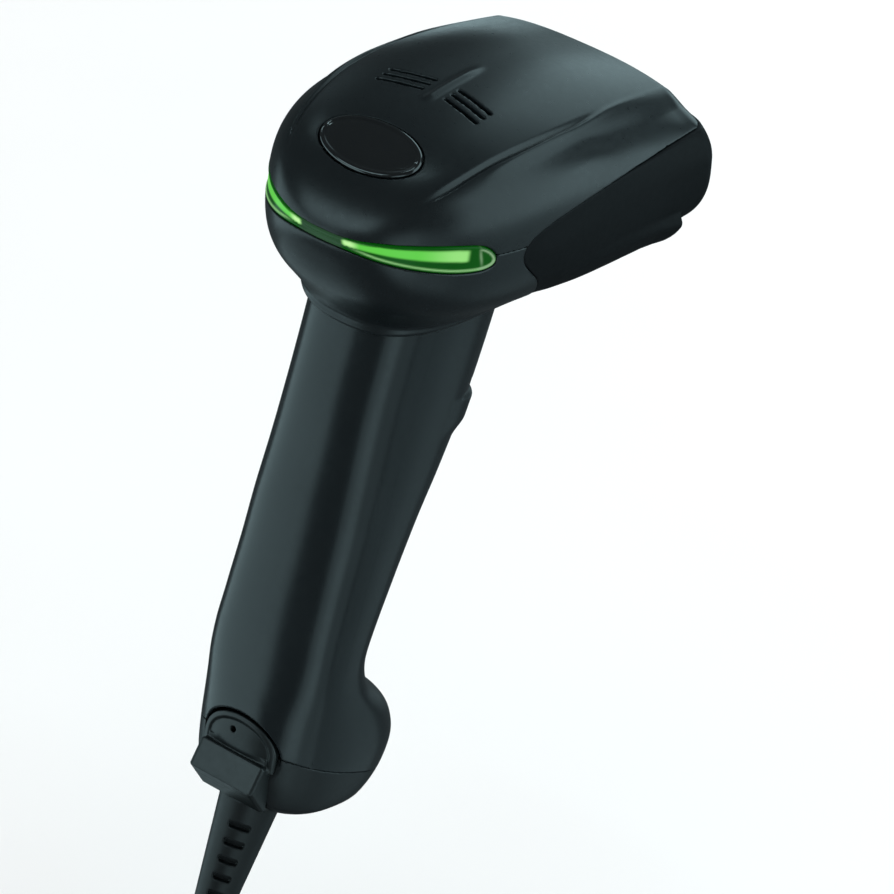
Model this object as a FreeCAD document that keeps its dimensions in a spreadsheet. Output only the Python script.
import FreeCAD, Part
import math
import os
import Sketcher
from FreeCAD import Placement, Rotation, Vector

# Handheld imaging barcode scanner: a domed head on a pistol grip, with a plug-in cable.
# Design frame, in millimetres: X across the scanner, the reading window towards -Y, +Z up.
# In the head, "forward" is the distance in front of its rearmost point and "height" is
# measured from its long axis. At the end all pieces are shifted, so that the origin lies
# in the middle of the neck.

os.makedirs("parts", exist_ok=True)
doc = FreeCAD.newDocument("scanner")

# ---------------------------------------------------------------- driving dimensions
DIMENSIONS = dict(
    # head
    head_length=100.94, rear_y=7.96, axis_z=143.55, nose_radius=6.0, nose_slant=0.19,
    shell_wall=2.9, bumper_seat=1.5,
    crown_power=3.15, crown_power_nose=2.55, belly_power=2.48, belly_power_nose=2.9,
    # handle
    grip_power=2.52, grip_tilt=0.18, grip_wall=2.2, collar_step=0.9,
    neck_y=-6.4, neck_z=118.2, neck_slope=0.25, cap_z=13.0, cap_slope=0.43,
    seam_y=-18.0, seam_slope=0.2, gap=0.15,
    # window group
    mouth_half=26.5, mouth_tall=11.3, mouth_drop=1.9, mouth_power=3.2, window_thick=1.8,
    # imaging engine
    engine_width=23.5, engine_deep=11.5, engine_tall=14.0, lens_height=-2.0,
    barrel_radius=4.8, barrel_length=15.0, aimer_x=8.2, aimer_radius=2.4, aimer_length=13.0,
    led_x=17.0,
    # boards, their posts and the housing screws
    board_thick=1.6, main_width=40.0, main_length=50.0, main_forward=49.3, main_height=-3.0,
    post_x=16.0, post_back=29.0, post_front=72.0, screw_x=22.0, screw_forward=24.0,
    grip_board_width=22.0, grip_board_length=76.0,
    board_tilt=11.3, board_y=-17.0, board_z=68.0, buzzer_radius=6.0, buzzer_tall=9.5,
    # trigger
    trigger_half=12.0, trigger_low=94.2, trigger_proud=1.2, pivot_y=-36.0, pivot_z=112.0,
    pin_radius=1.2, pin_length=27.0, pin_play=0.05, barrel_out=2.6, plunger_radius=1.6,
    # plug and cable
    plug_tilt=18.72, plug_y=0.9, panel_half=10.2, panel_top=19.9, panel_shoulder=12.5,
    block_half=8.86, boot_half=8.1, relief_top=7.1, relief_end=3.7, relief_length=37.0,
    cable_radius=2.5, cable_length=44.0, cable_bare=20.2, cable_start=-15.0, core_radius=0.5,
    # badge and vents
    badge_half=12.6, badge_short=7.1, badge_forward=14.0, badge_lean=26.6,
    vent_wide=1.1, vent_pitch=2.5,
    # final origin, in the design frame
    origin_y=-27.0, origin_z=117.0,
)
# head stations: distance forward, half width, crown height, belly depth
HEAD_COLUMNS = ("station", "width", "crown", "belly")
HEAD_TABLE = [
    (2, 11.17, 6.6, 6.3), (8, 19.91, 13.5, 16.8), (18, 26.98, 18.7, 22.6),
    (32, 31.3, 21.9, 24.6), (50, 32.75, 23.4, 25.6), (72, 32.9, 22.4, 26.2),
    (95, 35.3, 17.6, 21.5),
]
# handle levels, top to bottom: z, front y, rear y, half width
GRIP_COLUMNS = ("level", "front", "back", "flank")
GRIP_TABLE = [
    (120, -50.0, -8.0, 17.8), (106, -46.4, -5.3, 17.5), (94, -42.6, -3.0, 17.4),
    (82, -36.9, -0.9, 17.4), (70, -30.2, 1.5, 17.4), (57, -24.6, 4.0, 17.2),
    (45, -19.6, 6.5, 17.2), (38, -17.4, 7.8, 17.4), (32, -19.2, 8.7, 17.7),
    (28, -23.2, 9.2, 18.0), (24, -28.5, 9.7, 18.3), (19, -33.0, 10.1, 18.6),
    (13, -35.3, 10.4, 18.7), (7, -33.8, 10.4, 18.3), (1, -29.2, 9.8, 17.2),
    (-3, -22.6, 8.6, 15.4),
]
LETTERS = "abcdefghijklmnop"
for columns, table in ((HEAD_COLUMNS, HEAD_TABLE), (GRIP_COLUMNS, GRIP_TABLE)):
    for letter, row in zip(LETTERS, table):
        for name, value in zip(columns, row):
            DIMENSIONS[name + "_" + letter] = value

sheet = doc.addObject("Spreadsheet::Sheet", "dims")
for number, (name, value) in enumerate(DIMENSIONS.items(), 1):
    sheet.set("A%d" % number, name)
    sheet.set("B%d" % number, repr(float(value)))
    sheet.setAlias("B%d" % number, name)
doc.recompute()


class dim:
    "the sheet's values, read back by alias"


for name in DIMENSIONS:
    setattr(dim, name, float(getattr(sheet, name)))


def column(name, table):
    return [getattr(dim, name + "_" + letter) for letter in LETTERS[:len(table)]]


SIDES = (1, -1)
ACROSS = Vector(1, 0, 0)
UPWARD = Vector(0, 0, 1)
SKIN_STEP = 0.3         # how far the bumper and badge stand out of the head
SEAT_PLAY = 0.05        # clearance under the bumper and badge
SPLIT_GAP = 0.05        # half the gap between the two head shells
CAP_GAP = 0.06          # half the gap above the base cap
SEAM_GAP = 0.04         # half the gap between the handle shells


# ---------------------------------------------------------------- interpolation
def pchip(xs, ys):
    "shape-keeping cubic through the points, xs rising, held constant beyond the ends"
    count = len(xs)
    steps = [xs[i + 1] - xs[i] for i in range(count - 1)]
    rises = [(ys[i + 1] - ys[i]) / steps[i] for i in range(count - 1)]
    slopes = [rises[0]] + [0.0] * (count - 2) + [rises[-1]]
    for i in range(1, count - 1):
        if rises[i - 1] * rises[i] > 0:
            before = 2 * steps[i] + steps[i - 1]
            after = steps[i] + 2 * steps[i - 1]
            slopes[i] = (before + after) / (before / rises[i - 1] + after / rises[i])

    def value(x):
        x = min(max(x, xs[0]), xs[-1])
        i = 0
        while i < count - 2 and x > xs[i + 1]:
            i += 1
        t = (x - xs[i]) / steps[i]
        return ((1 + 2 * t) * (1 - t) ** 2 * ys[i] + t * (1 - t) ** 2 * steps[i] * slopes[i]
                + t * t * (3 - 2 * t) * ys[i + 1] + t * t * (t - 1) * steps[i] * slopes[i + 1])
    return value


def spline(xs, ys):
    "natural cubic spline through the points, xs rising"
    count = len(xs)
    steps = [xs[i + 1] - xs[i] for i in range(count - 1)]
    lower = [0.0] * count
    diagonal = [1.0] * count
    upper = [0.0] * count
    bend = [0.0] * count
    for i in range(1, count - 1):
        lower[i], upper[i] = steps[i - 1], steps[i]
        diagonal[i] = 2 * (steps[i - 1] + steps[i])
        bend[i] = 6 * ((ys[i + 1] - ys[i]) / steps[i] - (ys[i] - ys[i - 1]) / steps[i - 1])
    for i in range(1, count):
        factor = lower[i] / diagonal[i - 1]
        diagonal[i] -= factor * upper[i - 1]
        bend[i] -= factor * bend[i - 1]
    curve = [0.0] * count       # second derivatives
    curve[-1] = bend[-1] / diagonal[-1]
    for i in range(count - 2, -1, -1):
        curve[i] = (bend[i] - upper[i] * curve[i + 1]) / diagonal[i]

    def value(x):
        i = 0
        while i < count - 2 and x > xs[i + 1]:
            i += 1
        step, ahead, behind = steps[i], xs[i + 1] - x, x - xs[i]
        return ((curve[i] * ahead ** 3 + curve[i + 1] * behind ** 3) / (6 * step)
                + (ys[i] / step - curve[i] * step / 6) * ahead
                + (ys[i + 1] / step - curve[i + 1] * step / 6) * behind)
    return value


# ---------------------------------------------------------------- shape helpers
def signed_power(value, power):
    return math.copysign(abs(value) ** (2.0 / power), value)


def superellipse(half, up, power, down=None, down_power=None, count=28):
    "points round a superellipse; its lower half may have its own height and power"
    points = []
    for i in range(count):
        angle = 2 * math.pi * i / count
        cosine, sine = math.cos(angle), math.sin(angle)
        rise, bulge = up, power
        if sine < 0 and down is not None:
            rise, bulge = down, down_power
        points.append((half * signed_power(cosine, bulge), rise * signed_power(sine, bulge)))
    return points


def closed_curve(points):
    curve = Part.BSplineCurve()
    curve.interpolate(points, PeriodicFlag=True)
    return Part.Wire([curve.toShape()])


def solid(shape):
    "one solid with its faces outwards, from a loft or a sweep"
    result = shape.Solids[0] if shape.Solids else Part.Solid(shape.Shells[0])
    if result.Volume < 0:
        result.reverse()
    return result


def loft(wires):
    return solid(Part.makeLoft(wires, True, False, False))


def without_crumbs(shape):
    "drops slivers; a single solid comes back bare, several as a compound"
    solids = [item for item in shape.Solids if item.Volume > 0.5]
    return solids[0] if len(solids) == 1 else Part.Compound(solids)


def side_prism(points, width, start=None):
    "a closed (y, z) outline extruded along X, centred unless start is given"
    x = -width / 2.0 if start is None else start
    corners = [Vector(x, y, z) for y, z in points]
    return Part.Face(Part.makePolygon(corners + [corners[0]])).extrude(Vector(width, 0, 0))


def head_prism(points):
    "a closed (forward, height) outline through the whole width"
    return side_prism([(dim.rear_y - a, dim.axis_z + b) for a, b in points], 160.0)


def sloping_half(plane_y, plane_z, slope, up=True):
    "everything above (or below) the plane z = plane_z + slope * (y - plane_y)"
    size = 300.0
    thick = 200.0 if up else -200.0
    back, front = plane_z + slope * size, plane_z - slope * size
    return side_prism([(plane_y - size, front), (plane_y + size, back),
                       (plane_y + size, back + thick), (plane_y - size, front + thick)],
                      2 * size)


def above_neck(drop=0.0):
    return sloping_half(dim.neck_y, dim.neck_z - drop, -dim.neck_slope)


def on_head(x, forward, height):
    return Vector(x, dim.rear_y - forward, dim.axis_z + height)


def cylinder(start, axis, radius, length):
    return Part.makeCylinder(radius, length, start, axis)


def centred_box(centre, dx, dy, dz):
    return Part.makeBox(dx, dy, dz, centre - Vector(dx / 2.0, dy / 2.0, dz / 2.0))


def wide_box(dx, dy, dz, y, z):
    "a box centred across X, with its lowest front edge at y, z"
    return Part.makeBox(dx, dy, dz, Vector(-dx / 2.0, y, z))


def side_start(side, inner, width):
    "lowest x of a span that begins at inner on the given side of the middle"
    return inner if side > 0 else -inner - width


# ---------------------------------------------------------------- keeping the pieces
pieces = {}


def keep(obj, label, place=None):
    obj.Label = label
    if place is not None:
        obj.Placement = place
    pieces[label] = obj


def add_shape(label, shape, place=None):
    obj = doc.addObject("Part::Feature", label)
    obj.Shape = shape
    keep(obj, label, place)


def add_primitive(kind, name, **properties):
    "a primitive; a property given as text is bound as an expression"
    obj = doc.addObject(kind, name)
    for key, value in properties.items():
        if isinstance(value, str):
            obj.setExpression(key, value)
        else:
            setattr(obj, key, value)
    return obj


def add_boolean(kind, name, base, tool):
    obj = doc.addObject(kind, name)
    obj.Base = base
    obj.Tool = tool
    return obj


# ---------------------------------------------------------------- sketched bodies
# A sketch size is a plain number or the (number, expression) pair made by driven().
def driven(alias, extra=0.0):
    expression = "dims." + alias
    if extra:
        expression += " %s %r" % ("-" if extra < 0 else "+", abs(extra))
    return getattr(dim, alias) + extra, expression


def as_pair(size):
    return size if isinstance(size, tuple) else (float(size), None)


def constrain(sketch, *terms):
    "adds a constraint whose last term is a sketch size"
    number, expression = as_pair(terms[-1])
    index = sketch.addConstraint(Sketcher.Constraint(*terms[:-1], number))
    if expression:
        sketch.setExpression("Constraints[%d]" % index, expression)


def new_sketch(body, name, role):
    sketch = body.newObject("Sketcher::SketchObject", name)
    plane = next(item for item in body.Origin.OriginFeatures if item.Role == role)
    sketch.AttachmentSupport = [(plane, "")]
    sketch.MapMode = "FlatFace"
    return sketch


def draw_polygon(sketch, points):
    "joined lines round the points; returns their indices"
    ends = points[1:] + points[:1]
    lines = [sketch.addGeometry(Part.LineSegment(Vector(*a, 0), Vector(*b, 0)), False)
             for a, b in zip(points, ends)]
    for line, following in zip(lines, lines[1:] + lines[:1]):
        sketch.addConstraint(Sketcher.Constraint("Coincident", line, 2, following, 1))
    return lines


def draw_rectangle(sketch, width, height, x=0.0, y=0.0):
    half_x, half_y = as_pair(width)[0] / 2.0, as_pair(height)[0] / 2.0
    lines = draw_polygon(sketch, [(x - half_x, y - half_y), (x + half_x, y - half_y),
                                  (x + half_x, y + half_y), (x - half_x, y + half_y)])
    for i, direction in ((0, "Horizontal"), (2, "Horizontal"), (1, "Vertical"), (3, "Vertical")):
        sketch.addConstraint(Sketcher.Constraint(direction, lines[i]))
    constrain(sketch, "DistanceX", lines[0], 1, lines[0], 2, width)
    constrain(sketch, "DistanceY", lines[1], 1, lines[1], 2, height)
    # the lower left corner is held relative to the sketch's origin
    for kind, centre, size in (("DistanceX", x, width), ("DistanceY", y, height)):
        number, expression = as_pair(size)
        if expression:
            expression = "%r - (%s) / 2" % (float(centre), expression)
        constrain(sketch, kind, -1, 1, lines[0], 1, (centre - number / 2.0, expression))


def draw_circles(sketch, circles):
    "circles: (x, y, radius)"
    for x, y, radius in circles:
        curve = Part.Circle(Vector(x, y, 0), UPWARD, as_pair(radius)[0])
        circle = sketch.addGeometry(curve, False)
        constrain(sketch, "Radius", circle, radius)
        constrain(sketch, "DistanceX", -1, 1, circle, 3, x)
        constrain(sketch, "DistanceY", -1, 1, circle, 3, y)


def padded_body(label, rectangle, length, place, holes=(), cuts=()):
    """a rectangle (width, height, x, y) padded along local Z by the expression length;
    holes are circles in its sketch, cuts are groups of circles pocketed right through"""
    body = doc.addObject("PartDesign::Body", label)
    sketch = new_sketch(body, label + "_outline", "XY_Plane")
    draw_rectangle(sketch, *rectangle)
    draw_circles(sketch, holes)
    pad = body.newObject("PartDesign::Pad", label + "_pad")
    pad.Profile = sketch
    pad.Length = 1.0
    pad.setExpression("Length", length)
    doc.recompute()
    for i, circles in enumerate(cuts):
        volume = body.Shape.Volume
        sketch = new_sketch(body, "%s_cut%d" % (label, i), "XY_Plane")
        draw_circles(sketch, circles)
        pocket = body.newObject("PartDesign::Pocket", "%s_pocket%d" % (label, i))
        pocket.Profile = sketch
        pocket.Type = "ThroughAll"
        pocket.Midplane = True
        doc.recompute()
        if not body.Shape.Volume < volume - 1e-6:
            raise RuntimeError("pocket cut nothing in " + label)
    keep(body, label, place)


def turned_body(label, outline, place):
    "an outline of (radius, z) sketch sizes turned about local Z"
    body = doc.addObject("PartDesign::Body", label)
    sketch = new_sketch(body, label + "_profile", "XZ_Plane")
    lines = draw_polygon(sketch, [(as_pair(r)[0], as_pair(z)[0]) for r, z in outline])
    for line, corner in zip(lines, outline):
        # a zero size puts the corner on the axis: -2 is the vertical one, -1 the horizontal
        for kind, axis, size in zip(("DistanceX", "DistanceY"), (-2, -1), corner):
            if abs(as_pair(size)[0]) < 1e-9:
                sketch.addConstraint(Sketcher.Constraint("PointOnObject", line, 1, axis))
            else:
                constrain(sketch, kind, -1, 1, line, 1, size)
    turn = body.newObject("PartDesign::Revolution", label + "_turn")
    turn.Profile = sketch
    turn.ReferenceAxis = (sketch, ["V_Axis"])
    turn.Angle = 360.0
    doc.recompute()
    keep(body, label, place)


# ---------------------------------------------------------------- local frames
FACING_FRONT = Rotation(ACROSS, 90)       # turns local Z to the scanner's front (-Y)
FLIPPED = Rotation(ACROSS, 180)
# handle board: local Z runs up the board, local -Y is its front side
BOARD = Placement(Vector(0, dim.board_y, dim.board_z), Rotation(ACROSS, dim.board_tilt))
# plug: local Z runs up along the pull axis, local Y rearwards
PLUG = Placement(Vector(0, dim.plug_y, 0), Rotation(ACROSS, dim.plug_tilt))
# nose: local Y runs rearwards from the slanted front of the head
NOSE = Placement(on_head(0, dim.head_length, 0),
                 Rotation(ACROSS, -math.degrees(math.atan(dim.nose_slant))))


def on_board(x, y, z, turn=Rotation()):
    return BOARD.multiply(Placement(Vector(x, y, z), turn))


def at_lens(forward, x=0):
    "on the lens axis or beside it, local Z to the front"
    return Placement(on_head(x, forward, dim.lens_height), FACING_FRONT)


def in_plug(shape):
    result = shape.copy()
    result.Placement = PLUG.multiply(result.Placement)
    return result


# ---------------------------------------------------------------- head skins
POLE_END = 2.0          # the head is a blunt ellipsoid behind this distance
REAR_END = 30.0         # insets are scaled behind it, plain offsets in front of it
FLARE_START = 95.2      # straight tapers from here to the nose
FLARE_SLOPES = (0.06, -0.3, -0.3)         # of half width, crown, belly
NOSE_ARC_ANGLES = (24, 44, 62, 77, 87)    # sections round the nose's edge, in degrees

station_roots = [0.0] + [math.sqrt(station) for station in column("station", HEAD_TABLE)]
head_curves = [spline(station_roots, [0.0] + column(name, HEAD_TABLE))
               for name in HEAD_COLUMNS[1:]]


def smooth_size(forward):
    if forward < POLE_END:
        shrink = math.sqrt(forward / POLE_END)
        return [curve(math.sqrt(POLE_END)) * shrink for curve in head_curves]
    return [curve(math.sqrt(forward)) for curve in head_curves]


def head_size(forward, inset):
    "half width, crown and belly of a skin lying inset inside the outer one"
    if forward < REAR_END:
        scaled = REAR_END - (REAR_END - forward) * REAR_END / (REAR_END - inset)
        size = [value * (1 - inset / full) for value, full
                in zip(smooth_size(max(scaled, 0.0)), smooth_size(REAR_END))]
    else:
        past = max(forward - FLARE_START, 0.0)
        size = [value - inset + slope * past for value, slope
                in zip(smooth_size(min(forward, FLARE_START)), FLARE_SLOPES)]
    radius = dim.nose_radius - inset
    into_nose = forward - (dim.head_length - dim.nose_radius)
    if into_nose > 0:
        drop = radius - math.sqrt(max(0.0, radius * radius - into_nose * into_nose))
        size = [value - drop for value in size]
    return size


def head_section(forward, inset):
    half, crown, belly = head_size(forward, inset)
    blend = min(max((forward - 30) / 50, 0), 1)
    crown_power = dim.crown_power * (1 - blend) + dim.crown_power_nose * blend
    belly_power = dim.belly_power * (1 - blend) + dim.belly_power_nose * blend
    slant = dim.nose_slant * (forward / dim.head_length) ** 3
    return closed_curve([on_head(x, forward - slant * height, height) for x, height
                         in superellipse(half, crown, crown_power, belly, belly_power)])


def head_loft(inset, end=None):
    "the head at an inset, with its rounded nose or cut off at end"
    start = inset + 0.12
    stations = [start + step for step in (0, 0.45, 1.3, 2.8, 5)]
    stations += [8.5 + inset * 0.8, 12.5 + inset * 0.5, 17.5 + inset * 0.3]
    stations += [23.5, 30.5, 38, 47, 57, 67, 77, 86]
    if end is None:
        nose = dim.head_length - dim.nose_radius
        stations += [nose] + [nose + (dim.nose_radius - inset) * math.sin(math.radians(angle))
                              for angle in NOSE_ARC_ANGLES]
    else:
        stations += [0.5 * (86 + end), end]
    return loft([head_section(forward, inset) for forward in stations])


head_outer = head_loft(0.0)
head_proud = head_loft(-SKIN_STEP)
head_seat = head_loft(dim.bumper_seat)
head_seat_play = head_loft(dim.bumper_seat - SEAT_PLAY)
head_inner = head_loft(dim.shell_wall, end=dim.head_length - 4.6)

# ---------------------------------------------------------------- grip skins
FOOT_RISE = 3.2
# rounded foot: (share of the rise, share of the full section)
FOOT_SECTIONS = [(0.0, 0.60), (0.12, 0.76), (0.34, 0.88), (0.66, 0.965)]
GRIP_SECTIONS = [2.0, 6, 10, 14, 18, 22, 26, 30, 34, 39, 45, 53, 62, 72, 82, 92, 102, 112, 122]

grip_levels = column("level", GRIP_TABLE)[::-1]
grip_front, grip_back, grip_flank = (pchip(grip_levels, column(name, GRIP_TABLE)[::-1])
                                     for name in GRIP_COLUMNS[1:])


def grip_section(level, inset, scale=1.0):
    front = grip_front(level) + inset
    back = grip_back(level) - inset
    middle = (back + front) / 2
    outline = superellipse((grip_flank(level) - inset) * scale, (back - front) / 2 * scale,
                           dim.grip_power)
    return closed_curve([Vector(x, middle + y, level + y * dim.grip_tilt) for x, y in outline])


def grip_loft(inset):
    "the whole grip, from its rounded foot up into the head"
    low = dim.level_p + max(inset, 0) * 1.05 - max(-inset, 0)
    sections = [grip_section(low + FOOT_RISE * share, inset, scale)
                for share, scale in FOOT_SECTIONS]
    levels = [level for level in GRIP_SECTIONS if level > low + 3.0] + [132.0]
    return loft(sections + [grip_section(level, inset) for level in levels])


def neck_loft(inset, low, high):
    return loft([grip_section(low + (high - low) * i / 5.0, inset) for i in range(6)])


grip_outer = grip_loft(0.0)
grip_inner = grip_loft(dim.grip_wall)


# ---------------------------------------------------------------- outlines shared by neighbours
def ring_prism(shrink):
    "the light ring's slot, seen from the side as (forward, height)"
    upper = [(-3, 1.5), (0.4, 1.75), (3, 2.65), (8, 3.2), (15, 3.3), (20, 2.7), (22.9, 1.0)]
    lower = [(23.4, -1.5), (21.2, -3.2), (16, -3.5), (8.6, -2.7), (3, -1.6), (0.4, -0.8),
             (-3, -0.75)]
    return head_prism([(a, b - shrink) for a, b in upper] + [(24.0 - shrink, -0.3)]
                      + [(a - (shrink if a > 20 else 0), b + shrink) for a, b in lower])


def bumper_prism(play, heel):
    "the nose bumper's area, seen from the side as (forward, height)"
    front = dim.head_length + 4
    upper = [(31.6, -2.2), (32.3, 0.0), (34.0, 1.7), (37.4, 3.1), (41.5, 4.2), (48, 5.1),
             (56, 5.8), (66, 6.4), (76, 7.0), (86, 8.0), (front, 9.5)]
    rear = [(46, -24), (43.6, -17.0), (39.6, -11.2), (35.2, -7.3), (32.5, -4.6)]
    return head_prism([(a + (play if a < 60 else 0), b - play) for a, b in upper]
                      + [(front, -40), (heel, -40)] + [(a + play, b) for a, b in rear])


def mouth_prism(less_x, less_z, front, back):
    "the mouth's oval, smaller by less_x and less_z, between two depths in the nose frame"
    outline = superellipse(dim.mouth_half - less_x, dim.mouth_tall - less_z,
                           dim.mouth_power, count=36)
    wire = closed_curve([Vector(x, front, z - dim.mouth_drop) for x, z in outline])
    prism = Part.Face(wire).extrude(Vector(0, back - front, 0))
    prism.Placement = NOSE
    return prism


def badge_prism(shrink):
    "the badge's ellipse, square to the crown"
    ellipse = Part.Ellipse(Vector(0, 0, 0), dim.badge_half - shrink, dim.badge_short - shrink)
    prism = Part.Face(Part.Wire([ellipse.toShape()])).extrude(Vector(0, 0, 20))
    prism.translate(Vector(0, 0, -10))
    crown = head_size(dim.badge_forward, 0)[1]
    place = Placement(on_head(0, dim.badge_forward, crown), Rotation(ACROSS, -dim.badge_lean))
    prism.Placement = place.multiply(prism.Placement)
    return prism


ring_slot = ring_prism(0.0)
bumper_bed = bumper_prism(0.0, 47.0).cut(head_seat)
mouth = mouth_prism(0, 0, -8, 9)


# ---------------------------------------------------------------- head shells
def vent_slots():
    "three sloping slots each side of the middle, over the buzzer"
    inner_x, outer_x, inner_forward, outer_forward = 3.1, 12.9, 35.6, 33.1
    slots = []
    for i in range(3):
        for side in SIDES:
            across = (outer_x - inner_x) * side
            back = inner_forward - outer_forward
            slot = Part.makeBox(math.hypot(across, back), dim.vent_wide, 14,
                                Vector(0, -dim.vent_wide / 2, 0))
            slot.Placement = Placement(
                on_head(inner_x * side, inner_forward + dim.vent_pitch * i, 15),
                Rotation(UPWARD, math.degrees(math.atan2(back, across))))
            slots.append(slot)
    return slots


def screw_columns(height, radius, length):
    "upright cylinders on the two housing screws' axes"
    return [cylinder(on_head(side * dim.screw_x, dim.screw_forward, height),
                     UPWARD, radius, length) for side in SIDES]


def top_cover():
    bosses = [boss.common(head_outer) for boss in screw_columns(0.1, 3.3, 30)]
    upper_half = wide_box(200, 200, 100, -150, dim.axis_z + SPLIT_GAP)
    shell = head_outer.common(upper_half).cut(head_inner)
    shell = shell.fuse(bosses).cut(screw_columns(-1, 1.2, 10.5))
    shell = shell.cut(ring_slot).cut(bumper_bed).cut(mouth)
    return shell.cut(badge_prism(-0.12).cut(head_seat)).cut(vent_slots())


def lower_head_shell():
    "the head's lower half with the collar that caps the handle"
    lower_half = wide_box(200, 200, 100, -150, dim.axis_z - 100 - SPLIT_GAP)
    collar = neck_loft(-dim.collar_step, 104.0, 134.0).common(above_neck()).common(lower_half)
    shell = head_outer.common(lower_half).fuse(collar)
    shell = shell.cut(head_inner)
    # the handle opens into the head through the collar
    shell = shell.cut(neck_loft(3.6, 100.0, 140.0))
    post_top = dim.main_height - 0.05
    posts = [cylinder(on_head(side * dim.post_x, forward, foot), UPWARD, 2.6, post_top - foot)
             for side in SIDES
             for forward, foot in ((dim.post_back, -19.6), (dim.post_front, -22.2))]
    engine_posts = [cylinder(on_head(x, 83.0, -22.4), UPWARD, 2.4, 22.4 - 9.05)
                    for x in (-7.0, 8.5)]
    bosses = [boss.common(head_outer) for boss in screw_columns(-18.5, 4.2, 18.4)]
    shell = shell.fuse(posts + engine_posts + bosses)
    shell = shell.cut([cylinder(on_head(side * dim.post_x, forward, -12), UPWARD, 1.0, 12)
                       for side in SIDES for forward in (dim.post_back, dim.post_front)])
    # wide bores for the screw heads, narrow ones for the shanks
    shell = shell.cut(screw_columns(-30, 2.7, 30 - 13.0) + screw_columns(-14, 1.3, 15))
    return shell.cut(ring_slot).cut(bumper_bed).cut(mouth)


add_shape("top_cover", without_crumbs(top_cover()))
add_shape("lower_head_shell", without_crumbs(lower_head_shell()))

# ---------------------------------------------------------------- bumper, light ring, badge
bumper = head_proud.common(bumper_prism(0.06, 47.1)).cut(head_seat_play).cut(mouth)
add_shape("nose_bumper", without_crumbs(bumper))
add_shape("light_ring", without_crumbs(head_outer.common(ring_prism(0.12)).cut(head_inner)))
badge = head_proud.common(badge_prism(0.0)).cut(head_seat_play)
add_shape("badge_plate", without_crumbs(badge))

# ---------------------------------------------------------------- handle shells and base cap
PANEL_FRONT = 11.5      # front face of the plug's panel, local y in the plug frame


def panel_prism(play):
    "the D shape of the plug's panel: straight sides under half an ellipse"
    half, shoulder, low = dim.panel_half + play, dim.panel_shoulder, -30
    ellipse = Part.Ellipse(Vector(0, shoulder, 0), half, dim.panel_top + play - shoulder)
    corners = [Vector(-half, shoulder, 0), Vector(-half, low, 0),
               Vector(half, low, 0), Vector(half, shoulder, 0)]
    edges = [Part.LineSegment(a, b).toShape() for a, b in zip(corners, corners[1:])]
    arc = Part.ArcOfEllipse(ellipse, 0, math.pi).toShape()
    prism = Part.Face(Part.Wire([arc] + edges)).extrude(Vector(0, 0, 20))
    prism.Placement = Placement(Vector(0, PANEL_FRONT - play + 20, 0), FACING_FRONT)
    return prism


def plug_slot():
    "room for the plug: its panel's opening, the boot's channel and the block's channel"
    return in_plug(panel_prism(0.25)).fuse([
        in_plug(wide_box(2 * dim.boot_half + 0.6, 23, 45, -7.6, -32.4)),
        in_plug(wide_box(2 * dim.block_half + 0.7, 9.0, 45, 7.2, -32.4))])


def seam_half(direction):
    "everything in front of (-1) or behind (1) the seam, less half the gap"
    start = dim.seam_y + SEAM_GAP * direction
    high, low, middle = start - dim.seam_slope * 60, start + dim.seam_slope * 160, 118
    thick = 200.0 * direction
    return side_prism([(high, middle + 60), (low, middle - 160),
                       (low + thick, middle - 160), (high + thick, middle + 60)], 180)


slot = plug_slot()
tube = grip_outer.cut(grip_inner).cut(above_neck(dim.gap)).cut(head_loft(-0.45)).cut(slot)
above_cap = sloping_half(0, dim.cap_z + CAP_GAP, dim.cap_slope)
below_cap = sloping_half(0, dim.cap_z - CAP_GAP, dim.cap_slope, up=False)
pivot = Vector(0, dim.pivot_y, dim.pivot_z)


def handle_front_shell():
    "has the trigger's opening and two blocks that hold the trigger's pin"
    shell = tube.common(seam_half(-1)).common(above_cap)
    shell = shell.cut(wide_box(2 * dim.trigger_half + 0.8, 30, 40, -60, dim.trigger_low - 1.0))
    blocks = [Part.makeBox(5.2, 8, 8, pivot + Vector(side_start(side, 10.7, 5.2), -4, -4.5))
              .common(grip_outer) for side in SIDES]
    bore = cylinder(pivot - ACROSS * 30, ACROSS, dim.pin_radius + 0.005, 60)
    bore = bore.common(centred_box(pivot, dim.pin_length + 0.1, 10, 10))
    return shell.fuse(blocks).cut(bore)


rear_shell = tube.common(seam_half(1)).common(above_cap)
add_shape("handle_rear_shell", without_crumbs(rear_shell))
add_shape("handle_front_shell", without_crumbs(handle_front_shell()))
base_cap = grip_outer.cut(grip_inner).common(below_cap).cut(slot)
add_shape("base_cap", without_crumbs(base_cap))

# ---------------------------------------------------------------- trigger, pin and spring
SWITCH_UP = 34.25       # the switch's middle along the handle board


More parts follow.
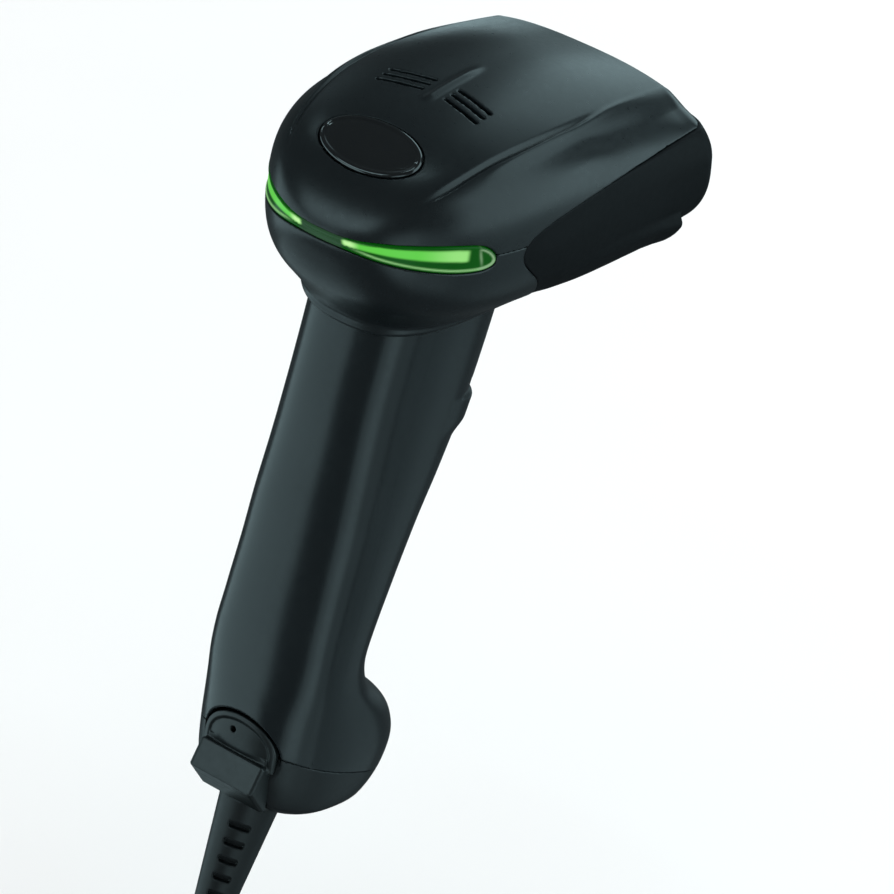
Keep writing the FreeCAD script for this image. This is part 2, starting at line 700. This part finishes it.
def trigger():
    "a curved face with two hinge arms and a post that reaches the switch"
    skin = grip_loft(-dim.trigger_proud)
    face = skin.cut(grip_loft(1.0))
    face = face.common(wide_box(2 * dim.trigger_half, 40, 40, -62, dim.trigger_low))
    face = face.cut(head_loft(-0.9)).cut(above_neck())
    tip = BOARD.multVec(Vector(0, -9.6, SWITCH_UP))
    tip_radius, post_width = 1.5, 4.8
    post = side_prism([(-46.0, 98.4), (tip.y, tip.z - tip_radius), (tip.y, tip.z + tip_radius),
                       (-46.5, 101.8)], post_width).common(skin)
    nose = cylinder(tip - ACROSS * (post_width / 2), ACROSS, tip_radius, post_width)
    arms = []
    arm_width = 3.6
    for side in SIDES:
        start = side_start(side, 6.2, arm_width)
        arms.append(cylinder(pivot + ACROSS * start, ACROSS, dim.barrel_out, arm_width))
        arms.append(side_prism([(pivot.y, pivot.z + 2.2), (pivot.y, pivot.z - 2.5),
                                (-47.0, pivot.z - 7.5), (-47.5, pivot.z + 0.5)],
                               arm_width, start).common(skin))
    bore = cylinder(pivot - ACROSS * 20, ACROSS, dim.pin_radius + dim.pin_play, 40)
    return face.fuse(arms + [post, nose]).cut(bore)


def trigger_spring():
    "a coil about local Z with a straight leg at each end"
    pitch, height, radius, leg_radius, overlap = 1.15, 7.0, 2.1, 0.33, 0.35
    helix = Part.makeHelix(pitch, height, radius)
    section = Part.Wire([Part.makeCircle(0.35, Vector(radius, 0, 0), Vector(0, 1, 0.087))])
    coil = Part.Wire(helix.Edges).makePipeShell([section], True, True)
    first_leg = cylinder(Vector(radius, overlap, 0), Vector(0, -1, 0), leg_radius, 8.3)
    angle = 2 * math.pi * (height / pitch)
    end = Vector(radius * math.cos(angle), radius * math.sin(angle), height)
    tangent = Vector(-math.sin(angle), math.cos(angle), 0)
    last_leg = cylinder(end - tangent * overlap, tangent, leg_radius, 7.3)
    return solid(coil).fuse([first_leg, last_leg])


def across_pivot(start):
    "on the pivot's axis, local Z along X"
    return Placement(pivot + ACROSS * start, Rotation(Vector(0, 1, 0), 90))


add_shape("trigger", without_crumbs(trigger()))
pin, pin_tip = driven("pin_radius"), driven("pin_radius", -0.25)
turned_body("trigger_pin",
            [(0, 0), (pin_tip, 0), (pin, 0.25), (pin, driven("pin_length", -0.25)),
             (pin_tip, driven("pin_length")), (0, driven("pin_length"))],
            across_pivot(-dim.pin_length / 2))
add_shape("trigger_spring", without_crumbs(trigger_spring()), across_pivot(-3.5))

# ---------------------------------------------------------------- switch on the handle board
SWITCH_SIDE = 8.0
padded_body("switch_body", (SWITCH_SIDE, SWITCH_SIDE), "3.8 mm",
            on_board(0, -1.2, SWITCH_UP, FACING_FRONT),
            holes=[(0, 0, driven("plunger_radius", 0.05))])
switch_base = add_primitive("Part::Box", "switch_base",
                            Length=SWITCH_SIDE, Width=1.15, Height=SWITCH_SIDE)
keep(switch_base, "switch_base",
     on_board(-SWITCH_SIDE / 2, -1.17, SWITCH_UP - SWITCH_SIDE / 2))
plunger = driven("plunger_radius")
turned_body("switch_plunger",
            [(0, 0), (plunger, 0), (plunger, 5.05), (driven("plunger_radius", -0.2), 5.25),
             (0, 5.25)],
            on_board(0, -2.8, SWITCH_UP, FACING_FRONT))

# ---------------------------------------------------------------- boards and what they carry
BOARD_TOP = -1.38       # height at which parts stand on the main board
padded_body("handle_board", (driven("grip_board_width"), driven("grip_board_length"), 0, 4.0),
            "dims.board_thick", on_board(0, dim.board_thick, 0, FACING_FRONT))
post_holes = [(side * dim.post_x, dim.main_forward - forward, 1.3)
              for side in SIDES for forward in (dim.post_back, dim.post_front)]
# notches clear the housing screws' bosses
boss_notches = [(side * dim.screw_x, dim.main_forward - dim.screw_forward, 4.6)
                for side in SIDES]
padded_body("main_board", (driven("main_width"), driven("main_length")), "dims.board_thick",
            Placement(on_head(0, dim.main_forward, dim.main_height), Rotation()),
            cuts=[post_holes, boss_notches])
# chips: x, forward, and sizes along X, Y, Z
CHIPS = [(0, 52, 12, 12, 1.4), (13, 60, 8, 8, 1.2), (-13, 60, 7, 9, 1.0), (0, 68, 14, 5, 1.8)]
add_shape("board_chips", Part.Compound(
    [centred_box(on_head(x, forward, BOARD_TOP + dz / 2), dx, dy, dz)
     for x, forward, dx, dy, dz in CHIPS]))


def shield_can():
    "a thin can under the main board, open at the top"
    length, width, height, wall = 22, 20, 3.2, 0.3
    outer = add_primitive("Part::Box", "can_outer", Length=length, Width=width, Height=height)
    inner = add_primitive("Part::Box", "can_inner", Length=length - 2 * wall,
                          Width=width - 2 * wall, Height=height,
                          Placement=Placement(Vector(wall, wall, wall), Rotation()))
    keep(add_boolean("Part::Cut", "can_cut", outer, inner), "shield_can",
         Placement(on_head(-length / 2, 60, dim.main_height - 0.02 - height), Rotation()))


def ribbon_cable():
    "flat cable from the handle board up to the main board"
    path = [BOARD.multVec(Vector(0, 2.2, 40.0)), Vector(0, -24.0, 118.0),
            Vector(0, -22.0, 128.0), on_head(0, 34.0, -6.5), on_head(0, 39.4, -3.75)]
    upper, lower = [], []
    for i, point in enumerate(path):
        along = path[min(i + 1, len(path) - 1)] - path[max(i - 1, 0)]
        along.normalize()
        offset = Vector(0, -along.z, along.y) * 0.2
        upper.append(point + offset)
        lower.append(point - offset)
    return side_prism([(point.y, point.z) for point in upper + lower[::-1]], 10)


shield_can()
padded_body("indicator_board", (24.0, 9.0), "1.0 mm",
            Placement(on_head(0, 12.6, -1.0), Rotation()))
add_shape("indicator_leds", Part.Compound(
    [centred_box(on_head(side * 8.5, 10.0, 0.62), 3.2, 1.6, 1.2) for side in SIDES]))
buzzer_wall, buzzer_top = driven("buzzer_radius"), driven("buzzer_tall")
buzzer_floor = driven("buzzer_tall", -2.0)      # bottom of the small hole in its top
turned_body("buzzer",
            [(0, 0), (buzzer_wall, 0), (buzzer_wall, driven("buzzer_tall", -0.4)),
             (driven("buzzer_radius", -0.4), buzzer_top), (1.2, buzzer_top),
             (1.2, buzzer_floor), (0, buzzer_floor)],
            Placement(on_head(0, 37.5, BOARD_TOP), Rotation()))
vent_mesh = add_primitive("Part::Box", "vent_mesh", Length=27, Width=11, Height=0.3)
keep(vent_mesh, "vent_mesh", Placement(on_head(-13.5, 42.4, 18.0), Rotation()))
add_shape("ribbon_cable", ribbon_cable())


# ---------------------------------------------------------------- imaging engine and lighting
def lens(radius, edge, rise):
    "a plano-convex lens: flat back at z = 0, edge wall, spherical crown"
    sphere = (radius ** 2 + rise ** 2) / (2 * rise)
    crown = Part.makeSphere(sphere, Vector(0, 0, edge + rise - sphere))
    return without_crumbs(Part.makeCylinder(radius, edge + rise).common(crown))


def placed(shape, place):
    result = shape.copy()
    result.Placement = place
    return result


TUBE_BACK = 78.3        # forward position of the lens barrel's and aimer tube's back ends
engine_face = (driven("engine_width"), driven("engine_tall"), 0.75, 0)
padded_body("engine_chassis", engine_face, "dims.engine_deep", at_lens(77.35),
            cuts=[[(0, 0, driven("barrel_radius", 0.03)),
                   (dim.aimer_x, 0, driven("aimer_radius", 0.03))]])
padded_body("sensor_board", engine_face, "1.2 mm", at_lens(75.0))
image_sensor = add_primitive("Part::Box", "image_sensor", Length=7.5, Width=5.8, Height=1.0)
keep(image_sensor, "image_sensor",
     at_lens(76.25).multiply(Placement(Vector(-3.75, -2.9, 0), Rotation())))
bore, barrel, barrel_end = (driven("barrel_radius", -1.2), driven("barrel_radius"),
                            driven("barrel_length"))
turned_body("lens_barrel",
            [(bore, 0), (barrel, 0), (barrel, driven("barrel_length", -0.4)),
             (driven("barrel_radius", -0.4), barrel_end), (bore, barrel_end)],
            at_lens(TUBE_BACK))
add_shape("front_lens", lens(dim.barrel_radius - 1.25, 0.9, 1.15), at_lens(90.4))
bore, barrel, barrel_end = (driven("aimer_radius", -0.7), driven("aimer_radius"),
                            driven("aimer_length"))
turned_body("aimer_tube", [(bore, 0), (barrel, 0), (barrel, barrel_end), (bore, barrel_end)],
            at_lens(TUBE_BACK, dim.aimer_x))
add_shape("aimer_lens", lens(dim.aimer_radius - 0.75, 0.6, 0.6), at_lens(89.6, dim.aimer_x))
padded_body("illumination_board", (46.0, 12.0), "1.2 mm", at_lens(89.0),
            cuts=[[(0, 0, 5.3), (dim.aimer_x, 0, 2.7)]])
add_shape("illumination_leds", Part.Compound(
    [centred_box(on_head(side * dim.led_x, 90.83, dim.lens_height), 3.2, 1.2, 3.2)
     for side in SIDES]))
add_shape("led_lenses", Part.Compound(
    [placed(lens(3.5, 0.7, 1.6), at_lens(91.5, side * dim.led_x)) for side in SIDES]))

# ---------------------------------------------------------------- window, its frame and seal
LEDGE = 4.4             # depth of the frame's ledge behind the nose
FRAME_BACK = 7.2
frame = mouth_prism(0.15, 0.15, 1.0, FRAME_BACK).fuse(mouth_prism(-1.8, -1.8, 5.4, FRAME_BACK))
frame = frame.cut(mouth_prism(3.0, 2.6, 0, 9)).cut(mouth_prism(1.6, 1.4, 0, LEDGE))
add_shape("window_frame", without_crumbs(frame))
window_back = LEDGE - 0.55
window = mouth_prism(1.7, 1.5, window_back - dim.window_thick, window_back)
add_shape("scan_window", without_crumbs(window))
seal = mouth_prism(1.7, 1.5, 3.87, 4.38).cut(mouth_prism(2.9, 2.5, 3, 5))
add_shape("window_seal", without_crumbs(seal))


# ---------------------------------------------------------------- screws
def add_screws(label, head_radius, head_tall, shank_radius, shank_length, places):
    "identical screws with a cross recess, the head towards local +Z"
    head = Part.makeCylinder(head_radius, head_tall)
    shank = Part.makeCylinder(shank_radius, shank_length, Vector(0, 0, -shank_length))
    top, reach = Vector(0, 0, head_tall), head_radius * 1.2
    recess = centred_box(top, reach, 0.5, 0.9).fuse(centred_box(top, 0.5, reach, 0.9))
    screw = head.fuse(shank).cut(recess).removeSplitter()
    add_shape(label, Part.Compound([placed(screw, place) for place in places]))


add_screws("housing_screws", 2.4, 1.8, 1.15, 21.0,
           [Placement(on_head(side * dim.screw_x, dim.screw_forward, -13.02), FLIPPED)
            for side in SIDES])
add_screws("board_screws", 2.2, 1.4, 0.97, 7.0,
           [Placement(on_head(side * dim.post_x, forward, BOARD_TOP), Rotation())
            for side in SIDES for forward in (dim.post_back, dim.post_front)])


# ---------------------------------------------------------------- socket in the handle's foot
def contact_row(width, depth, height, y, z):
    "eight boxes side by side at the contacts' pitch, in the plug frame"
    first, pitch = -3.8, 1.1
    return [Part.makeBox(width, depth, height, Vector(first - width / 2 + pitch * i, y, z))
            for i in range(8)]


socket = wide_box(16, 13, 18.6, -6.5, 12.6).cut(wide_box(11.9, 8.5, 15.4, -4.25, 12.0))
socket = socket.cut(wide_box(6.6, 6, 14.8, 3.0, 12.0))
socket = socket.cut(contact_row(0.6, 2.0, 5.2, -6.0, 20.9))
add_shape("cable_socket", without_crumbs(socket), PLUG)
add_shape("socket_contacts", Part.Compound(contact_row(0.5, 0.9, 5.0, -5.2, 21.0)), PLUG)


# ---------------------------------------------------------------- plug
def plug_body():
    "D panel, block and boot in one moulding"
    panel = in_plug(panel_prism(0.0)).common(grip_outer)
    panel = panel.common(in_plug(wide_box(30, 30, 25, PANEL_FRONT, 9.0)))
    block = side_prism([(7.5, 10.3), (14.06, 10.3), (15.5, 3.5), (7.5, -1.5)],
                       2 * dim.block_half)
    neck = wide_box(16.0, 4.5, 11.3, 9.0, 0.0).common(
        side_prism([(9, 11.8), (13.4, 11.8), (13.4, 2.6), (9, 0.0)], 40))
    boot = wide_box(2 * dim.boot_half, 15.6, 13.5, -7.3, -1.5)
    body = in_plug(block.fuse([neck, boot])).fuse(panel)
    body = body.cut([in_plug(wide_box(11.74, 8.24, 20, -4.12, 5.98)),
                     in_plug(wide_box(6.6, 5.2, 20, 4.0, 10.6)),
                     in_plug(cylinder(Vector(1.8, 5, 15.3), Vector(0, 1, 0), 0.65, 20))])
    return body.cut(in_plug(cylinder(Vector(0, 0, -3), UPWARD, dim.cable_radius, 9)))


add_shape("plug_body", without_crumbs(plug_body()))
modular = wide_box(11.7, 8.2, 20.5, -4.1, 6.0).cut(contact_row(0.6, 1.0, 4.4, -4.2, 21.0))
add_shape("modular_plug", without_crumbs(modular), PLUG)
add_shape("plug_contacts", Part.Compound(contact_row(0.5, 0.75, 4.2, -4.0, 21.1)), PLUG)
latch = side_prism([(4.15, 26.3), (5.3, 26.3), (8.3, 13.0), (7.2, 12.7), (4.15, 25.3)], 5.6)
add_shape("plug_latch", without_crumbs(latch), PLUG)


# ---------------------------------------------------------------- strain relief and cable
def strain_relief():
    "a downward cone with six pairs of grooves, bored for the cable"
    top = -1.55
    relief = Part.makeCone(dim.relief_top, dim.relief_end, dim.relief_length,
                           Vector(0, 0, top), Vector(0, 0, -1))
    groove_depth, groove_tall = 1.3, 1.5
    for i in range(6):
        z = -8.2 - 4.4 * i
        radius = (dim.relief_top
                  + (dim.relief_end - dim.relief_top) * (top - z) / dim.relief_length)
        for angle in (0, 180):
            groove = wide_box(30, 30, groove_tall, radius - groove_depth, z - groove_tall / 2)
            groove.rotate(Vector(0, 0, 0), UPWARD, angle)
            relief = relief.cut(groove)
    return relief.cut(cylinder(Vector(0, 0, -60), UPWARD, dim.cable_radius + 0.03, 62))


def cable_jacket(place):
    "the bare cable, then a slightly slimmer length inside the relief, hollow"
    bare = add_primitive("Part::Cylinder", "jacket_outer",
                         Radius="dims.cable_radius", Height="dims.cable_bare")
    root = add_primitive("Part::Cylinder", "jacket_root",
                         Radius="dims.cable_radius - 0.06", Height="dims.cable_length")
    whole = add_boolean("Part::Fuse", "jacket_whole", bare, root)
    hollow = add_primitive("Part::Cylinder", "jacket_bore",
                           Radius=1.65, Height="dims.cable_length")
    keep(add_boolean("Part::Cut", "jacket_cut", whole, hollow), "cable_jacket", place)


def conductors(low):
    "four cores round the cable's axis"
    cores = []
    for i in range(4):
        angle = math.pi / 4 + i * math.pi / 2
        start = Vector(0.72 * math.cos(angle), 0.72 * math.sin(angle), low + 0.3)
        cores.append(cylinder(start, UPWARD, dim.core_radius, dim.cable_length - 1.0))
    return Part.Compound(cores)


cable_low = dim.cable_start - dim.cable_length
add_shape("strain_relief", without_crumbs(strain_relief()), PLUG)
cable_jacket(PLUG.multiply(Placement(Vector(0, 0, cable_low), Rotation())))
add_shape("cable_conductors", conductors(cable_low), PLUG)

# ---------------------------------------------------------------- shift, check, export
doc.recompute()
shift = Placement(Vector(0, -dim.origin_y, -dim.origin_z), Rotation())
for obj in pieces.values():
    obj.Placement = shift.multiply(obj.Placement)
doc.recompute()
failed = [obj.Name for obj in doc.Objects if "Invalid" in obj.State or "Error" in obj.State]
if failed:
    raise RuntimeError("failed objects: %s" % failed)
for label, obj in pieces.items():
    if obj.Shape.isNull() or not obj.Shape.isValid() or not obj.Shape.Solids:
        raise RuntimeError("bad shape: " + label)
for label, obj in pieces.items():
    obj.Shape.exportStep("parts/%s.step" % label)
